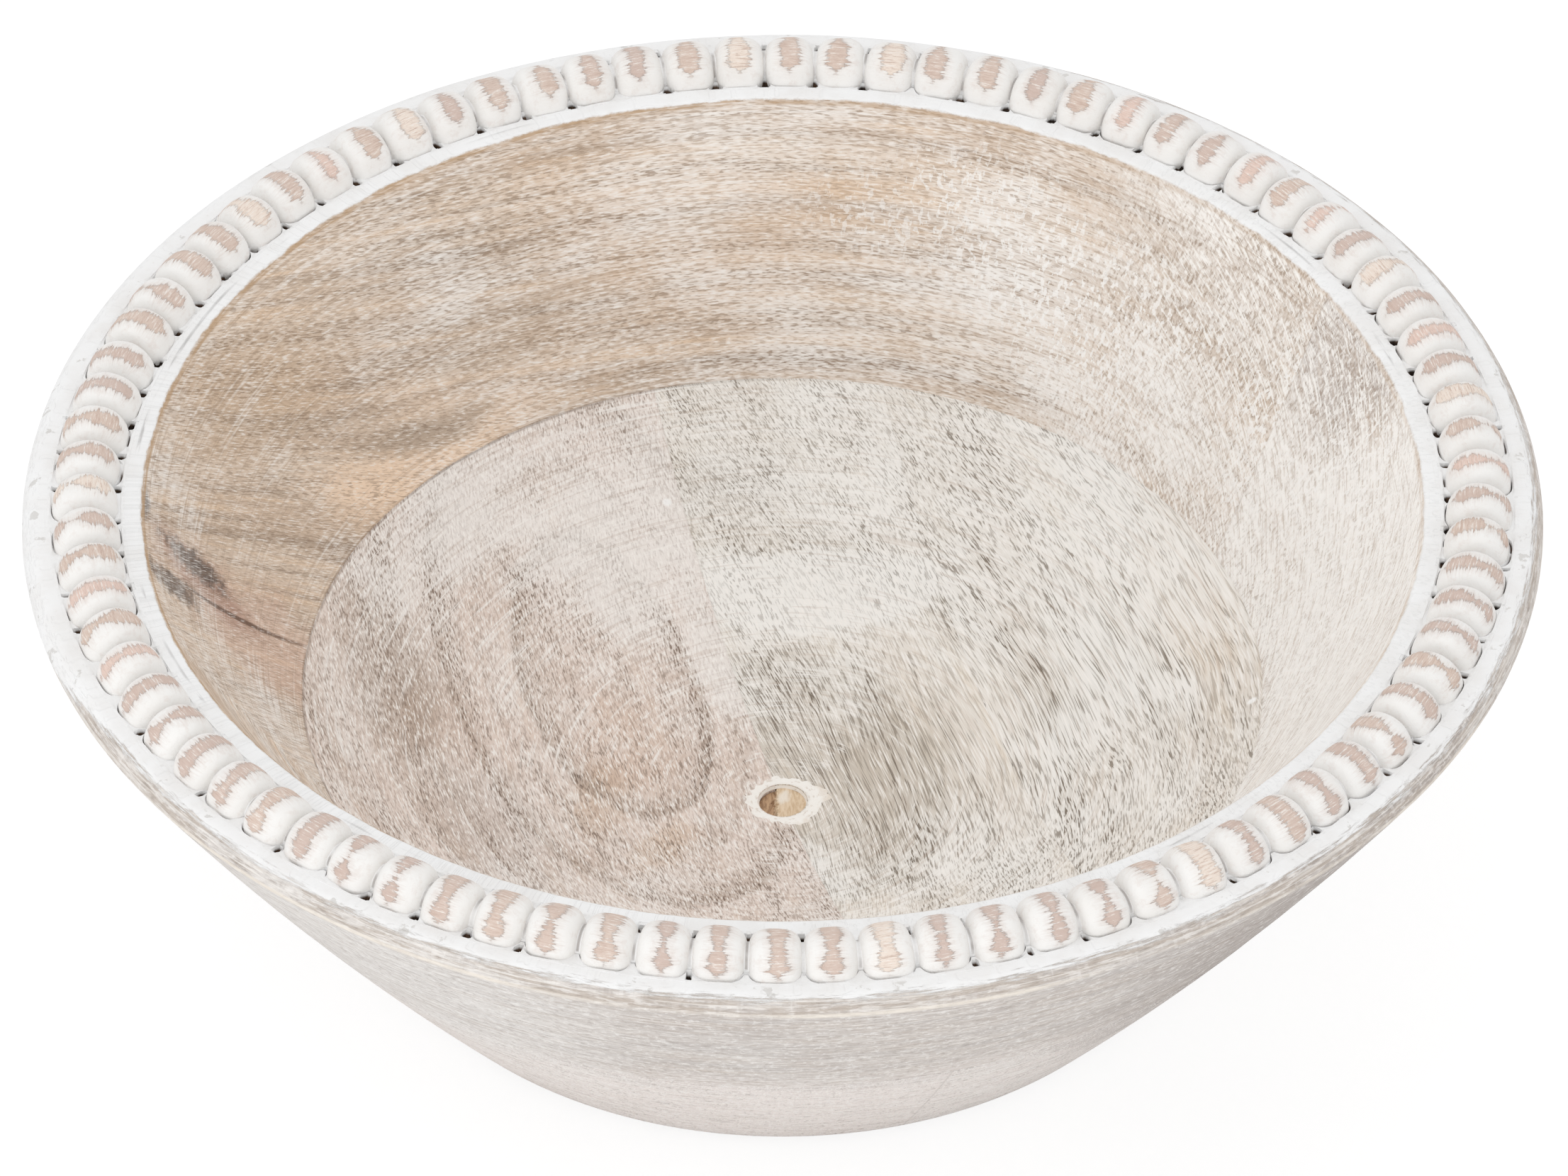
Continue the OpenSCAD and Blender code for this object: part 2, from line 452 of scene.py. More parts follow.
def makeBoardWood(name, look):
    material, shader = startMaterial(name)
    at = placeOn(shader)
    place, run, inside, height = at["Place"], at["Run"], at["Inside"], at["Height"]
    if look["rim"]:
        grain = useGroup(wallGrain, Around=at["Around"], Angle=at["Angle"], Height=height, Run=run, Inside=inside,
                         Seed=look["seed"])
    else:
        grain = useGroup(boardGrain, **{
            "Place": place, "Direction": math.radians(look["grain"]), "Bend": look["bend"],
            "Pith Across": look["pith"][0], "Pith Height": look["pith"][1], "Pith Tilt": look["pith"][2],
            "Pith Lift": look["pith"][3], "Ring Wave": look["ringWave"], "Warp": look["warp"], "Seed": look["seed"],
            "Dash Along": look["dash"][0], "Dash Across": look["dash"][1], "Dash Rise": look["dash"][2]})
    rings = rampOf(grain["Depth"], look["rings"])
    lines = useGroup(turningLines, Around=at["Around"], Run=run)

    def spotMask(spot, ragged, grit):
        return useGroup(softSpot, Place=place, Centre=spot["at"], Turn=math.radians(spot["turn"]),
                        Length=spot["size"][0], Width=spot["size"][1], Ragged=spot.get("ragged", ragged),
                        Grit=spot.get("grit", grit))["Mask"]

    def bySide(inner, outer):
        return timesPlus(inside, inner - outer, outer)

    colour = coats(look["pale"], (remap(grain["Band"], 0.36, 0.64), look["mid"]),
                   (remap(grain["Streak"], 0.50, 0.72, 0.0, look["streakShade"]), look["dark"]),
                   (remap(grain["Streak"], 0.46, 0.32, 0.0, look["warmShade"]), look["warm"]))
    for spot in look["stains"]:
        colour = mixColour(times(spotMask(spot, 0.9, 0.12), spot["strength"]), colour, spot["colour"])
    colour = mixColour(times(rings, look["ringShade"]), colour, look["ringColour"])
    amount = bySide(look["washInside"], look["washOutside"])
    for spot in look["whites"]:
        amount = timesPlus(spotMask(spot, 0.6, 0.06), spot["strength"], amount)
    cover = useGroup(limeWash, Place=place, Amount=amount, Fine=lines["Fine"], Band=lines["Band"],
                     Dash=grain["Dash"])["Cover"]
    colour = mixColour(times(cover, look["washStrength"]), colour, look["washColour"])
    # outside, the wash is thicker and greyer; its tint by height is painted light and shade, lighter toward the foot
    # and darker toward the rim
    outside = minus(1.0, inside)
    level = timesPlus(lines["Band"], 24.0, height)
    veilWithShade = mixColour(remap(level, 46.0, 72.0), tint(238, 230, 226), tint(200, 195, 192))
    colour = mixColour(times(outside, remap(lines["Band"], 0.32, 0.66, 0.92, 0.66)), colour, veilWithShade)
    # painted light and shade on the outside, lighter at the front left and darker at the right
    for spot in look["outerLightAndShade"]:
        colour = mixColour(times(spotMask(spot, 0.7, 0.06), spot["strength"], outside), colour, spot["colour"])
    for line, low, high, shade in (
            ("Worn", 0.50, 0.68, tint(236, 233, 230)), ("Worn", 0.48, 0.34, tint(180, 172, 167)),
            ("Fleck", 0.44, 0.30, tint(176, 168, 163)), ("Fleck", 0.55, 0.66, tint(246, 244, 242))):
        colour = mixColour(times(outside, remap(lines[line], low, high, 0.0, 0.45)), colour, shade)

    # pores: dark where they are empty, white where the wash has filled them
    crowd = timesPlus(rings, look["poreRings"], remap(grain["Streak"], 0.42, 0.64, look["poreLeast"], 1.0))
    crowd = times(crowd, remap(cover, 0.35, 1.0, 1.0, look["poreWashed"]), timesPlus(inside, 0.75, 0.25))
    pores = calc("MULTIPLY", remap(grain["Dash"], 0.455, 0.365, 0.0, look["poreShade"]), crowd, clamp=True)
    filled = remap(grain["Dash"], 0.58, 0.67, 0.0, look["filledShade"])
    colour = coats(colour, (pores, look["poreColour"]), (filled, tint(246, 242, 237)))
    scratch = times(remap(lines["Fine"], 0.56, 0.68), remap(lines["Band"], 0.42, 0.62, 0.2, 1.0),
                    look["scratchShade"])
    rub = remap(lines["Fine"], 0.44, 0.34, 0.0, look["rubShade"])
    if look["rim"]:
        # at the right the wash lies in short slanting strokes that hide the turned lines, except near the lip
        aroundX = separate(at["Around"])[0]
        toRight = times(remap(aroundX, 0.42, 0.78), inside)
        slant = timesPlus(at["Angle"], 120.0, times(run, -1.3))
        stroke = noiseOf(combine(times(slant, 0.95), times(run, 0.26), look["seed"]), 1.0, 3.0, 0.65)
        colour = coats(colour, (times(toRight, remap(stroke, 0.47, 0.38, 0.0, 0.58)), tint(202, 189, 177)),
                       (times(toRight, remap(stroke, 0.53, 0.60, 0.0, 0.88)), tint(252, 250, 246)))
        keep = timesPlus(times(toRight, remap(height, 90.0, 84.0)), -0.8, 1.0)
        scratch, rub = times(scratch, keep), times(rub, keep)
    # hairlines of glue where the boards and the layers meet
    angle, offset = look["joint"]
    x, y, _ = separate(place)
    across = timesPlus(x, -math.sin(math.radians(angle)), times(y, math.cos(math.radians(angle))))
    gap = calc("ABSOLUTE", minus(across, offset))
    glue = times(remap(gap, 0.40, 0.08), bySide(*look["glue"]), remap(lines["Worn"], 0.36, 0.60, 0.3, 1.0))
    layerGap = calc("ABSOLUTE", minus(height, bowl["layerHeight"]))
    layerGlue = times(remap(layerGap, 0.45, 0.10), remap(lines["Worn"], 0.36, 0.60, 0.15, 0.60),
                      remap(x, 30.0, -60.0, 0.12, 1.0), inside)
    colour = coats(colour, (scratch, tint(244, 240, 235)), (rub, look["scratchColour"]), (glue, look["poreColour"]),
                   (layerGlue, look["poreColour"]))
    for spot in look["dabs"]:
        dab = times(spotMask(spot, 0.9, 0.10), remap(lines["Fleck"], 0.54, 0.60, 0.0, spot["strength"]))
        colour = mixColour(dab, colour, tint(250, 248, 245))
    for drop in look["drops"]:
        colour = mixColour(spotMask(mark(drop, 0, (1.3, 1.1)), 0.2, 0.5), colour, tint(248, 247, 245))

    relief = timesPlus(lines["Fine"], 0.4, remap(grain["Dash"], 0.34, 0.46))
    roughness = timesPlus(cover, 0.10, 0.72)
    if look["rim"]:
        colour, relief, roughness = paintRim(at, lines, colour, relief, roughness)
    finishMaterial(shader, colour, roughness, 0.25, relief, 0.5)
    return material


# Places on the rim in millimetres; distances from the groove run out over the land and down the edge
rimLook = {
    "paintReach": 4.7, "leftReach": 7.0, "rag": 11.0, "lipRag": 2.0, "lipEdge": (127.9, 128.4), "land": (95.2, 95.6),
    "edge": (80.0, 81.0), "edgeFrom": 132.0, "wornBand": (2.0, 4.0, 9.4, 8.6), "arrisHighlight": (8.4, 8.9, 9.8, 9.4),
    "lipBand": (127.2, 127.6, 128.6, 128.2), "lipTop": (94.2, 94.6), "turnedLine": (129.7, 130.15, 130.7, 130.25),
}


def paintRim(at, lines, colour, relief, roughness):
    # white paint on the rim's lands, worn off round the outer edge except at the left
    radius, height, around = at["Radius"], at["Height"], at["Around"]
    x, y, _ = separate(around)
    grooveEdge = bowl["ringRadius"] + bowl["grooveRadius"] - bowl["rimHeight"]
    fromGroove = minus(minus(radius, grooveEdge), height)
    toLeft = remap(timesPlus(y, 0.9, times(x, -1.0)), 0.40, 0.75)
    reach = timesPlus(toLeft, rimLook["leftReach"], rimLook["paintReach"])
    rag = minus(noiseAlong(((x, 16.0), (y, 16.0), (fromGroove, 1.1)), 6.0, 0.78), 0.5)
    outer = remap(timesPlus(rag, rimLook["rag"], minus(reach, fromGroove)), -0.6, 0.8)
    lip = remap(timesPlus(rag, rimLook["lipRag"], radius), *rimLook["lipEdge"])
    top = calc("MAXIMUM", remap(height, *rimLook["land"]),
               times(remap(height, *rimLook["edge"]), calc("GREATER_THAN", radius, rimLook["edgeFrom"])))
    mask = times(outer, lip, top)
    # worn band between the paint and the wall, a painted highlight along the arris under it, and the bare lip
    wornBand = bandOf(fromGroove, *rimLook["wornBand"])
    edge = useGroup(turningLines, Around=around, Run=fromGroove)
    worn = timesPlus(remap(edge["Worn"], 0.40, 0.58), 0.70, 0.20)
    colour = mixColour(times(wornBand, worn), colour, tint(190, 179, 169))
    for line, low, high, shade in (("Grit", 0.50, 0.62, tint(238, 234, 230)), ("Grit", 0.44, 0.32, tint(158, 147, 138)),
                                   ("Fine", 0.52, 0.64, tint(236, 232, 227))):
        colour = mixColour(times(wornBand, remap(edge[line], low, high, 0.0, 0.55)), colour, shade)
    # painted highlight: a pale cream line where the rounded edge turns down into the wall
    arrisHighlight = times(bandOf(fromGroove, *rimLook["arrisHighlight"]), remap(edge["Band"], 0.36, 0.56, 0.1, 0.75))
    lipBand = times(bandOf(radius, *rimLook["lipBand"]), remap(height, *rimLook["lipTop"]),
                    remap(x, -0.2, 0.5, 1.0, 0.45), remap(lines["Worn"], 0.38, 0.56, 0.25, 0.85))
    chips = times(remap(noiseOf(at["Place"], 0.20, 4.0, 0.62), 0.62, 0.66, 0.0, 0.65), remap(fromGroove, 0.8, 1.6))
    paint = mixColour(chips, chalkOn(at)["Colour"], tint(203, 200, 196))
    # a turned line in the inner land, mostly filled with paint
    line = times(bandOf(radius, *rimLook["turnedLine"]), top, remap(lines["Band"], 0.54, 0.64),
                 remap(lines["Worn"], 0.40, 0.60))
    colour = coats(colour, (arrisHighlight, tint(238, 230, 219)), (lipBand, tint(186, 156, 124)), (mask, paint),
                   (times(line, 0.55), tint(150, 147, 145)))
    relief = timesPlus(line, -1.5, timesPlus(mask, 1.2, relief))
    return colour, relief, timesPlus(mask, -0.08, roughness)


def growthRings(seed, start, width, count):
    # uneven rings: each darkens slowly, ends in a line and starts pale again
    draw = random.Random(seed)
    stops, place = [(start, 0.1)], start
    for ring in range(count):
        wide = width * draw.uniform(0.5, 1.6)
        stops += [(place + wide * 0.7, draw.uniform(0.1, 0.4)), (place + wide * 0.94, draw.uniform(0.4, 1.0)),
                  (place + wide, 0.1)]
        place += wide
    return stops


def mark(at, turn, size, strength=0.90, colour=None, **edge):
    # one soft spot: its place, the way it lies in degrees, its length and width, and how strong it is
    return dict(edge, at=at, turn=turn, size=size, strength=strength, colour=colour and tint(*colour))


wallLook = {
    "joint": (bowl["wallAngle"], bowl["wallOffset"]), "rings": growthRings(4, -8.0, 10.0, 10), "seed": 3.1,
    "ringColour": tint(164, 144, 126), "ringShade": 0.45, "streakShade": 0.50, "warmShade": 0.65,
    "pale": tint(225, 206, 187), "mid": tint(210, 188, 167), "dark": tint(166, 150, 135), "warm": tint(232, 205, 177),
    "poreColour": tint(144, 121, 102), "poreShade": 0.54, "poreRings": 0.2, "poreLeast": 0.40, "poreWashed": 0.40,
    "filledShade": 0.50, "scratchColour": tint(172, 152, 134), "washColour": tint(249, 247, 244), "scratchShade": 0.24,
    "rubShade": 0.28, "glue": (0.22, 0.0),
    "washInside": 0.40, "washOutside": 0.50, "washStrength": 0.93, "rim": True,
    "stains": [
        mark((-75, 62.5, 49), 41, (38, 6.5), 0.95, (242, 215, 189), ragged=0.6),
        mark((-62, 81, 56), 29, (30, 5), 0.85, (238, 215, 193), ragged=0.6),
        mark((-73, 71, 57), 40, (24, 2.8), 0.50, (158, 144, 130)),
        mark((-62, 89, 63), 35, (26, 6), 0.14, (164, 152, 140)),
        mark((-112, 47, 86), 50, (40, 12), 0.45, (204, 176, 146)),
        mark((92, 78, 84), 130, (44, 16), 0.60, (208, 196, 184)),
        mark((84, 72, 65), 100, (26, 7), 0.50, (202, 183, 164)),
        mark((-104, 0, 60), 40, (34, 17), 0.50, (216, 182, 165)),
        mark((-20, 112, 70), 5, (50, 12), 0.45, (222, 194, 168)),
        mark((-116, -3, 76), 24, (14, 8), 0.75, (176, 140, 124)),
        mark((-118, -1, 80), 40, (10, 4.2), 0.95, (96, 84, 78), ragged=1.5, grit=0.5),
        mark((-110.6, -2.9, 70), 44.8, (26, 0.7), 0.85, (92, 66, 52), ragged=0.5, grit=0.4),
        mark((-127.4, -2, 95), 90, (7, 1.2), 0.9, (84, 72, 66), ragged=0.9, grit=0.5),
        mark((-121.5, -17, 82), 55, (10, 3.8), 0.9, (100, 88, 81), ragged=1.5, grit=0.5),
    ],
    # painted light on the front left of the outside and painted shade on its right
    "outerLightAndShade": [
        mark((-75, -112, 78), -35, (64, 38), 0.75, (229, 226, 223)),
        mark((105, -85, 80), 45, (70, 44), 0.90, (168, 159, 154)),
    ],
    "whites": [
        mark((64, 92, 70), 140, (80, 40), 0.15),
        mark((90, 50, 54), 120, (34, 10), 0.30),
        mark((-20, 124, 90), 5, (56, 12), 0.14),
        mark((38, 114, 84), 160, (44, 16), -0.06),
        mark((-20, 112, 72), 5, (56, 18), -0.08),
        mark((-68, 92, 79), 36, (34, 16), -0.05),
        mark((-105, 40, 60), 70, (60, 30), -0.22),
        mark((-72, 66, 50), 40, (40, 12), -0.16),
        mark((-108, -2, 66), 30, (30, 18), -0.18),
    ],
    "dabs": [mark((64, 90, 72), 140, (54, 15)),
             mark((24, 114, 78), 170, (30, 8), 0.5),
             mark((104, 46, 72), 110, (30, 22))],
    "drops": [],
}
frontLook = dict(
    wallLook, seed=8.4, washInside=0.88,
    stains=[mark((113, 49, 89), 114, (34, 14), 0.80, (184, 177, 174))],
    whites=[mark((-100, -70, 70), 120, (60, 40), -0.34),
            mark((113, 49, 89), 114, (36, 15), -0.46)],
    dabs=[mark((112, 10, 72), 90, (60, 24))])

floorLook = {
    "grain": bowl["floorAngle"], "bend": 0.0, "joint": (bowl["floorAngle"], 0.0), "pith": (26.0, 18.6, 0.514, 0.0),
    "ringWave": 3.0, "warp": 4.0,
    "rings": [(0.0, 0.15), (10.0, 0.1), (15.5, 0.25), (17.6, 0.75), (18.5, 1.0), (19.1, 0.35), (19.8, 0.0),
              (24.0, 0.2), (26.0, 0.4), (26.8, 0.05), (31.0, 0.25), (33.6, 0.7), (34.8, 0.9), (35.8, 0.2),
              (39.0, 0.15), (44.0, 0.45), (46.0, 0.7), (47.2, 0.15), (53.0, 0.35), (56.0, 0.5), (57.2, 0.1),
              (64.0, 0.3), (68.0, 0.5), (69.5, 0.1), (90.0, 0.3)],
    "seed": 5.7, "dash": (0.50, 2.8, 1.6), "ringColour": tint(158, 136, 118), "ringShade": 0.70, "streakShade": 0.35,
    "warmShade": 0.45,
    "pale": tint(230, 214, 204), "mid": tint(218, 200, 188), "dark": tint(188, 171, 159), "warm": tint(226, 204, 187),
    "poreColour": tint(132, 115, 103), "poreShade": 0.62, "poreRings": 0.9, "poreLeast": 0.25, "poreWashed": 0.3,
    "filledShade": 0.75, "scratchColour": tint(192, 175, 162), "washColour": tint(240, 236, 232), "scratchShade": 0.65,
    "rubShade": 0.25, "glue": (0.14, 0.25),
    "washInside": 0.42, "washOutside": 0.85, "washStrength": 0.80, "rim": False,
    "stains": [
        mark((-80, 14, 34), 98, (34, 13), 0.70, (184, 166, 152)),
        mark((-60, -24, 28), 110, (30, 16), 0.45, (202, 192, 186)),
        mark((-32, 12, 18), 106, (22, 14), 0.45, (218, 191, 172)),
        mark((-37, -5, 18), 80, (16, 9), 0.60, (205, 177, 153)),
        mark((-24, -18, 17), 60, (14, 7), 0.50, (214, 186, 160)),
    ],
    "outerLightAndShade": wallLook["outerLightAndShade"],
    "whites": [
        mark((-40, 68, 32), 20, (60, 26), 0.35),
        mark((-74, 46, 38), 60, (24, 12), 0.20),
        mark((-70, -10, 28), 90, (36, 20), -0.18),
        mark((-14, 38, 20), 106, (22, 7), 0.38),
        mark((-33, 54, 27), 118, (28, 12), 0.30),
    ],
    "dabs": [],
    "drops": [(-24.0, 72.5, 31.5)],
}
middleLook = dict(
    floorLook, bend=-0.0022, pith=(-5.0, -400.0, 0.0, 1.0), seed=12.9, warp=10.0, ringShade=0.60,
    rings=[(412.0, 0.55), (416.0, 0.75), (418.2, 1.0), (419.2, 0.35), (420.2, 0.02), (423.5, 0.05), (425.8, 0.35),
           (427.6, 0.75), (429.2, 0.5), (431.0, 0.15), (434.0, 0.4), (436.5, 0.15), (440.0, 0.3), (446.0, 0.2)],
    dash=(0.12, 3.0, 1.7), poreRings=0.6, poreShade=0.70, poreLeast=0.28, poreWashed=0.6, streakShade=0.45,
    pale=tint(230, 222, 212), mid=tint(218, 208, 196), dark=tint(178, 167, 153), warm=tint(234, 220, 201),
    ringColour=tint(182, 173, 160), poreColour=tint(130, 119, 107), washColour=tint(247, 246, 243),
    stains=[mark((-10, 78, 34), 10, (18, 10), 0.35, (180, 174, 167))], drops=[],
    whites=[mark((6, 54, 24), 0, (34, 12), 0.75),
            mark((22, 80, 34), 0, (50, 30), 0.25),
            mark((8, -22, 16), 114, (20, 6), 0.20),
            mark((42, -24, 21), 110, (30, 18), 0.14),
            mark((14, 6, 16), 106, (42, 34), -0.14)])
rightLook = dict(
    middleLook, joint=(bowl["floorAngle"], -bowl["middleWidth"]), seed=17.3, washInside=0.55, poreShade=0.80,
    poreLeast=0.30, filledShade=0.85,
    stains=[mark((66, 28, 30), 112, (40, 7), 0.30, (176, 168, 158)),
            mark((84, 30, 40), 105, (38, 11), 0.6, (226, 207, 186))],
    drops=[(95.0, -4.0, 42.0)],
    whites=[mark((62, 58, 34), 130, (60, 34), 0.20)])


# Boards: one profile spun round the axis, then parted at the glued joints

def arcCentre(start, end, rise):
    chord = end - start
    radius = (chord.length_squared / 4 + rise * rise) / (2 * rise)
    right = Vector((chord.y, -chord.x)).normalized()
    return (start + end) / 2 - right * (radius - rise), radius


def arcRadiusAt(start, end, rise, height):
    centre, radius = arcCentre(start, end, rise)
    return centre.x + math.sqrt(radius * radius - (height - centre.y) ** 2)


def arcUp(start, end, rise, low, high, count):
    heights = [low + (high - low) * step / count for step in range(count + 1)]
    return [Vector((arcRadiusAt(start, end, rise, height), height)) for height in heights]


def roundArc(centre, radius, fromAngle, toAngle, count):
    angles = [math.radians(fromAngle + (toAngle - fromAngle) * step / count) for step in range(count + 1)]
    return [Vector((centre[0] + radius * math.cos(a), centre[1] + radius * math.sin(a))) for a in angles]


foot = Vector((bowl["footRadius"], 0.0))
shoulder = Vector((bowl["rimRadius"], bowl["rimHeight"] - bowl["edgeRadius"]))
dishRadius = arcRadiusAt(foot, shoulder, bowl["outerSwell"], bowl["layerHeight"]) - bowl["jointWall"]
dishEdge = Vector((dishRadius, bowl["layerHeight"]))
lipPoint = Vector((bowl["mouthRadius"], bowl["rimHeight"]))
dishDepth = bowl["layerHeight"] - bowl["floorThickness"]
ballRadius = (dishRadius ** 2 + dishDepth ** 2) / (2 * dishDepth)
profileSteps = {"wall": 26, "groove": 16, "edge": 9, "base": 14, "floorSide": 22, "joint": 5, "dish": 44}
boardWear = {"waveSize": 0.03, "wallWave": 0.25}


def jointLine(outside):
    count = profileSteps["joint"]
    return [outside.lerp(dishEdge, step / count) for step in range(1, count)]


def wallProfile():
    # up the inside, over the rim and its groove, and down the outside
    top, ring, groove, edge = bowl["rimHeight"], bowl["ringRadius"], bowl["grooveRadius"], bowl["edgeRadius"]
    layer, count = bowl["layerHeight"], profileSteps["wall"]
    points = arcUp(dishEdge, lipPoint, bowl["innerHollow"], layer, top - bowl["lipBevel"], count)
    innerLand = ((-0.1, -0.5), (0.4, -0.15), (1.0, 0.0), (2.0, 0.0), (3.1, 0.0), (3.8, -0.05), (4.1, -0.2))
    points += [Vector((bowl["mouthRadius"] + out, top + up)) for out, up in innerLand]
    points += roundArc((ring, bowl["beadHeight"]), groove, 180, 360, profileSteps["groove"])
    outerLand = ((0.1, -0.2), (0.4, -0.05), (1.0, 0.0))
    points += [Vector((ring + groove + out, top + up)) for out, up in outerLand]
    points += roundArc((bowl["rimRadius"] - edge, top - edge), edge, 90, 0, profileSteps["edge"])
    outside = arcUp(foot, shoulder, bowl["outerSwell"], layer, shoulder.y, count)
    return points + outside[::-1][1:] + jointLine(outside[0])


def floorProfile():
    # out along the base, up the outside and back along the dish to the lathe hole
    base, hole, count = bowl["footRadius"] - bowl["footBevel"], bowl["holeRadius"], profileSteps["base"]
    points = [Vector((hole + (base - hole) * step / count, 0.0)) for step in range(count + 1)]
    points += arcUp(foot, shoulder, bowl["outerSwell"], bowl["footBevel"], bowl["layerHeight"],
                    profileSteps["floorSide"])
    points += jointLine(points[-1])
    low, high = (math.degrees(math.asin(radius / ballRadius)) for radius in (hole, dishRadius))
    centre = (0.0, bowl["floorThickness"] + ballRadius)
    points += roundArc(centre, ballRadius, high - 90, low - 90, profileSteps["dish"])
    return points + [Vector((hole, z)) for z in (9.0, 5.0)]


def spinProfile(name, points, steps=bowl["spinSteps"]):
    deselectAll()
    bpy.ops.mesh.primitive_plane_add(size=mm)
    piece = nameNew(name)
    bpy.ops.object.mode_set(mode="EDIT")
    bpy.ops.mesh.select_mode(type="VERT")
    bpy.ops.mesh.select_all(action="SELECT")
    bpy.ops.mesh.merge(type="CENTER")
    corners = [Vector((p.x, 0.0, p.y)) * mm for p in points]
    bpy.ops.transform.translate(value=corners[0])
    for before, after in zip(corners, corners[1:] + corners[:1]):
        bpy.ops.mesh.extrude_region_move(TRANSFORM_OT_translate={"value": after - before})
    weld = 0.02 * mm
    bpy.ops.mesh.select_all(action="SELECT")
    bpy.ops.mesh.remove_doubles(threshold=weld)
    bpy.ops.mesh.spin(steps=steps, angle=math.tau, center=(0, 0, 0), axis=(0, 0, 1))
    bpy.ops.mesh.select_all(action="SELECT")
    bpy.ops.mesh.remove_doubles(threshold=weld)
    bpy.ops.mesh.normals_make_consistent(inside=False)
    leaveEdit()
    return piece


def partBoard(whole, name, angle, near, far):
    board = copyPiece(whole, name)
    pickOnly(board)
    across = Vector((-math.sin(math.radians(angle)), math.cos(math.radians(angle)), 0.0))
    for distance, facing in ((near, -1.0), (far, 1.0)):
        if distance is not None:
            editAll()
            bpy.ops.mesh.bisect(plane_co=across * distance * mm, plane_no=across * facing, use_fill=True,
                                clear_outer=True)
    leaveEdit()
    smoothShade(board, 35)
    return board


wallRing = spinProfile("wallRing", wallProfile())
roughen(wallRing, cloudTexture("wallWave", boardWear["waveSize"]), boardWear["wallWave"])
floorDisc = spinProfile("floorDisc", floorProfile())
wallAngle, wallOffset = wallLook["joint"]
floorAngle, rightOffset = rightLook["joint"]
for name, look, whole, angle, near, far, slot, node in (
        ("wallBack", wallLook, wallRing, wallAngle, wallOffset, None, "wall_wood", "wall_back"),
        ("wallFront", frontLook, wallRing, wallAngle, None, wallOffset, "wall_wood", "wall_front"),
        ("floorLeft", floorLook, floorDisc, floorAngle, 0.0, None, "floor_wood", "floor_left"),
        ("floorMiddle", middleLook, floorDisc, floorAngle, rightOffset, 0.0, "floor_wood", "floor_middle"),
        ("floorRight", rightLook, floorDisc, floorAngle, None, rightOffset, "floor_wood", "floor_right")):
    settle(partBoard(whole, name, angle, near, far), makeBoardWood(name + "Wood", look), slot, node)
for whole in (wallRing, floorDisc):
    bpy.data.objects.remove(whole)
print("boards made")


# Beads

beadLook = {
    "radius": 6.7, "halfLength": 5.28, "bore": 1.5, "count": 82, "firstAngle": -86.2, "segments": 40, "rings": 9,
    "lastRing": 82.0, "boreEnd": 0.97, "barrel": 3.3, "sizeSpread": 0.025, "tilt": 3.0, "shift": 0.22, "lump": 0.35,
    "lumpSize": 0.006, "crownAt": 80.0, "crownReach": 66.0,
}
beadStep = math.tau / beadLook["count"]
firstBead = math.radians(beadLook["firstAngle"])


def beadTurns(at, shift):
    # beads counted round the ring; the whole turns added keep the count above zero
    return timesPlus(at["Angle"], 1 / beadStep, 200 + shift - firstBead / beadStep)


def makeBeadPaint():
    material, shader = startMaterial("beadPaint")
    at = placeOn(shader)
    turns = beadTurns(at, 0.5)
    index = calc("FLOOR", turns)
    side = times(minus(calc("FRACT", turns), 0.5), beadStep * bowl["ringRadius"])
    crown = calc("ARCTAN2", minus(at["Height"], bowl["beadHeight"]), minus(at["Radius"], bowl["ringRadius"]))
    dice = addNode(shader.id_data, "ShaderNodeTexWhiteNoise", noise_dimensions="1D")
    feed(dice.inputs["W"], calc("MODULO", index, beadLook["count"]))
    one, two, three = separate(dice.outputs["Color"])
    four = dice.outputs["Value"]
    # how far over the crown, -1 on the inner side to 1 on the outer side
    reach = calc("DIVIDE", minus(math.radians(beadLook["crownAt"]), crown), math.radians(beadLook["crownReach"]))
    span = calc("ABSOLUTE", reach)
    comb = noiseAlong(((side, 0.30), (crown, 16.0), (index, 7.3)), 5.0, 0.75)
    patchy = noiseAlong(((side, 0.25), (crown, 2.0), (index, 3.7)), 3.0)
    # half the width of the patch that is sanded through, waisted on some beads and ragged on all
    waist = remap(calc("ABSOLUTE", minus(reach, 0.25)), 0.0, 0.55)
    waist = timesPlus(minus(waist, 1.0), times(two, 1.15), 1.0)
    ends = remap(timesPlus(minus(patchy, 0.5), 0.5, span), 1.02, 0.80)
    half = times(timesPlus(one, 0.9, 1.45), waist, ends)
    half = timesPlus(minus(comb, 0.5), 5.6, half)
    half = timesPlus(minus(patchy, 0.5), 1.6, half)
    margin = minus(half, calc("ABSOLUTE", timesPlus(minus(three, 0.5), 1.4, side)))
    bare = times(remap(margin, -0.15, 0.25), remap(span, 1.15, 0.95))
    thin = times(remap(margin, -2.2, 0.2), remap(span, 1.35, 0.8))
    wood = coats(tint(201, 177, 165), (remap(four, 0.15, 0.75), tint(214, 194, 181)),
                 (calc("GREATER_THAN", one, 0.86), tint(234, 220, 208)),
                 (calc("LESS_THAN", one, 0.10), tint(222, 192, 178)),
                 (remap(comb, 0.50, 0.62, 0.0, 0.7), tint(190, 164, 150)),
                 (remap(comb, 0.46, 0.39, 0.0, 0.85), tint(238, 231, 224)))
    paint = chalkOn(at)
    grime = remap(noiseOf(at["Place"], 0.42, 4.0, 0.7), 0.50, 0.70, 0.0, 0.34)
    colour = coats(paint["Colour"], (0.40, tint(238, 234, 228)), (grime, tint(218, 206, 199)),
                   (times(thin, 0.30), wood), (times(bare, timesPlus(four, 0.25, 0.75)), wood))
    finishMaterial(shader, colour, 0.72, 0.25, timesPlus(bare, -1.2, paint["Relief"]), 0.6)
    return material


